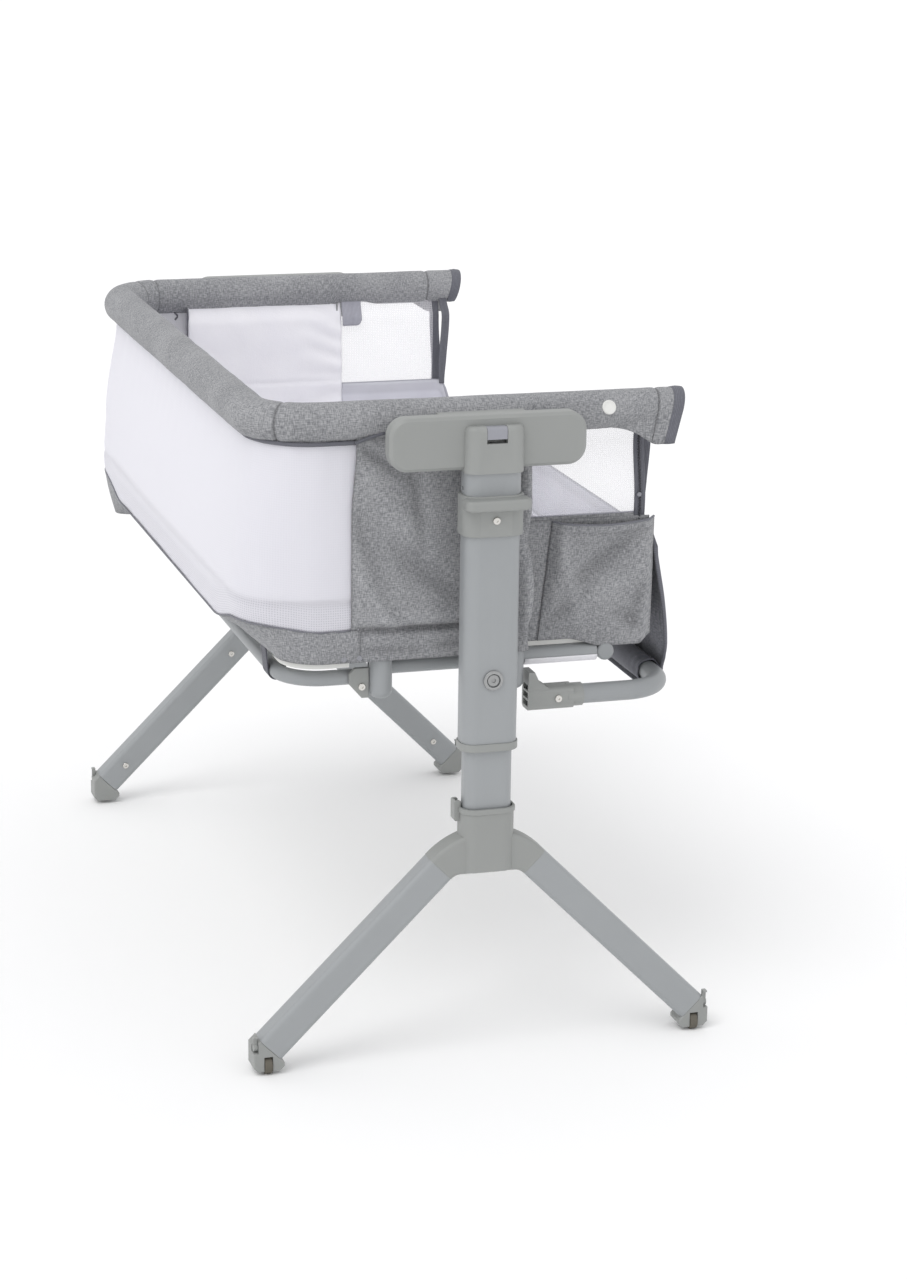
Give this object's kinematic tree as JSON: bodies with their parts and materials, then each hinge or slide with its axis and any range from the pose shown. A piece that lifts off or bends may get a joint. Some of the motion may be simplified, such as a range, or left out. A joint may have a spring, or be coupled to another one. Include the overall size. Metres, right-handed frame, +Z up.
{
  "type": "bedside bassinet on stand",
  "caption": "Bedside co-sleeper bassinet: fabric basket with a padded rim and drop side, on height-adjustable telescopic posts with splayed legs and wheels",
  "frame": {"origin": "on the floor at the middle of the stand", "axes": "+X towards the open bedside edge, +Y along the crib towards the far end, +Z up"},
  "size_m": [0.523, 1.022, 0.721],
  "materials": {
    "powder_coated_steel": "fine satin powder coat",
    "moulded_plastic": "satin moulded",
    "button_plastic": "satin moulded",
    "heather_fabric": "woven melange",
    "white_mesh": "fine knitted mesh",
    "lining_fabric": "smooth woven",
    "charcoal_tape": "woven tape",
    "steel_screws": "nickel plated",
    "wheel_rubber": "dull",
    "white_board": "smooth"
  },
  "bodies": {
    "stand": {"far_hub": "moulded_plastic", "far_left_foot": "moulded_plastic", "far_left_leg": "powder_coated_steel", "far_lower_tube": "powder_coated_steel", "far_right_foot": "moulded_plastic", "far_right_leg": "powder_coated_steel", "leg_screws": "steel_screws", "near_hub": "moulded_plastic", "near_left_foot": "moulded_plastic", "near_left_leg": "powder_coated_steel", "near_lower_tube": "powder_coated_steel", "near_right_foot": "moulded_plastic", "near_right_leg": "powder_coated_steel"},
    "near_left_wheel_body": {"near_left_wheel": "wheel_rubber"},
    "near_left_brake_lever_body": {"near_left_brake_lever": "moulded_plastic"},
    "near_right_wheel_body": {"near_right_wheel": "wheel_rubber"},
    "near_right_brake_lever_body": {"near_right_brake_lever": "moulded_plastic"},
    "near_release": {"near_release_collar": "moulded_plastic", "near_latch_slider": "steel_screws"},
    "near_button": {"near_head_button": "button_plastic"},
    "far_left_wheel_body": {"far_left_wheel": "wheel_rubber"},
    "far_left_brake_lever_body": {"far_left_brake_lever": "moulded_plastic"},
    "far_right_wheel_body": {"far_right_wheel": "wheel_rubber"},
    "far_right_brake_lever_body": {"far_right_brake_lever": "moulded_plastic"},
    "far_release": {"far_release_collar": "moulded_plastic", "far_latch_slider": "steel_screws"},
    "far_button": {"far_head_button": "button_plastic"},
    "drop_rail": {"drop_rail_tube": "powder_coated_steel", "rail_end_fittings": "moulded_plastic", "rail_sleeve": "charcoal_tape", "rail_screws": "steel_screws"},
    "bassinet": {"bottom_band": "heather_fabric", "clamp_screws": "steel_screws", "closed_side_mesh": "white_mesh", "cross_tubes": "powder_coated_steel", "drop_panel": "charcoal_tape", "end_linings": "lining_fabric", "far_end_panel": "heather_fabric", "far_head_bracket": "moulded_plastic", "far_outer_tube": "powder_coated_steel", "far_rim_cover": "heather_fabric", "frame_clamps": "moulded_plastic", "guide_rings": "moulded_plastic", "left_frame_tube": "powder_coated_steel", "low_wall": "heather_fabric", "mattress": "lining_fabric", "mattress_board": "white_board", "mesh_windows": "white_mesh", "near_end_panel": "heather_fabric", "near_head_bracket": "moulded_plastic", "near_outer_tube": "powder_coated_steel", "near_rim_cover": "heather_fabric", "pocket": "heather_fabric", "post_bolts": "steel_screws", "right_frame_tube": "powder_coated_steel", "rim_sleeves": "heather_fabric", "rim_tubes": "powder_coated_steel", "side_rim_cover": "heather_fabric", "uprights": "powder_coated_steel", "zip_tapes": "charcoal_tape"}
  },
  "joints": [
    {"name": "height_slide", "type": "slide", "parent": "stand", "child": "bassinet", "axis": [0, 0, 1], "range_m": [-0.055, 0.09]},
    {"name": "drop_rail_lift", "type": "slide", "parent": "bassinet", "child": "drop_rail", "axis": [0, 0, 1], "range_m": [0, 0.269], "deforming": ["drop_panel"]},
    {"name": "near_left_wheel_spin", "type": "hinge", "parent": "stand", "child": "near_left_wheel_body", "pos_m": [-0.245, -0.4815, 0.01], "axis": [1, 0, 0], "continuous": true},
    {"name": "near_left_lever_tip", "type": "hinge", "parent": "stand", "child": "near_left_brake_lever_body", "pos_m": [-0.2585, -0.4815, 0.031], "axis": [1, 0, 0], "range_deg": [0, 35]},
    {"name": "near_right_wheel_spin", "type": "hinge", "parent": "stand", "child": "near_right_wheel_body", "pos_m": [0.245, -0.4815, 0.01], "axis": [1, 0, 0], "continuous": true},
    {"name": "near_right_lever_tip", "type": "hinge", "parent": "stand", "child": "near_right_brake_lever_body", "pos_m": [0.2585, -0.4815, 0.031], "axis": [1, 0, 0], "range_deg": [0, 35]},
    {"name": "near_release_lift", "type": "slide", "parent": "bassinet", "child": "near_release", "axis": [0, 0, 1], "range_m": [0, 0.012], "stiffness_N_per_m": 400, "springref_m": -0.008},
    {"name": "near_button_press", "type": "slide", "parent": "bassinet", "child": "near_button", "axis": [0, 0, -1], "range_m": [0, 0.004], "stiffness_N_per_m": 500, "springref_m": -0.002},
    {"name": "far_left_wheel_spin", "type": "hinge", "parent": "stand", "child": "far_left_wheel_body", "pos_m": [-0.245, 0.4815, 0.01], "axis": [1, 0, 0], "continuous": true},
    {"name": "far_left_lever_tip", "type": "hinge", "parent": "stand", "child": "far_left_brake_lever_body", "pos_m": [-0.2585, 0.4815, 0.031], "axis": [-1, 0, 0], "range_deg": [0, 35]},
    {"name": "far_right_wheel_spin", "type": "hinge", "parent": "stand", "child": "far_right_wheel_body", "pos_m": [0.245, 0.4815, 0.01], "axis": [1, 0, 0], "continuous": true},
    {"name": "far_right_lever_tip", "type": "hinge", "parent": "stand", "child": "far_right_brake_lever_body", "pos_m": [0.2585, 0.4815, 0.031], "axis": [-1, 0, 0], "range_deg": [0, 35]},
    {"name": "far_release_lift", "type": "slide", "parent": "bassinet", "child": "far_release", "axis": [0, 0, 1], "range_m": [0, 0.012], "stiffness_N_per_m": 400, "springref_m": -0.008},
    {"name": "far_button_press", "type": "slide", "parent": "bassinet", "child": "far_button", "axis": [0, 0, -1], "range_m": [0, 0.004], "stiffness_N_per_m": 500, "springref_m": -0.002}
  ]
}
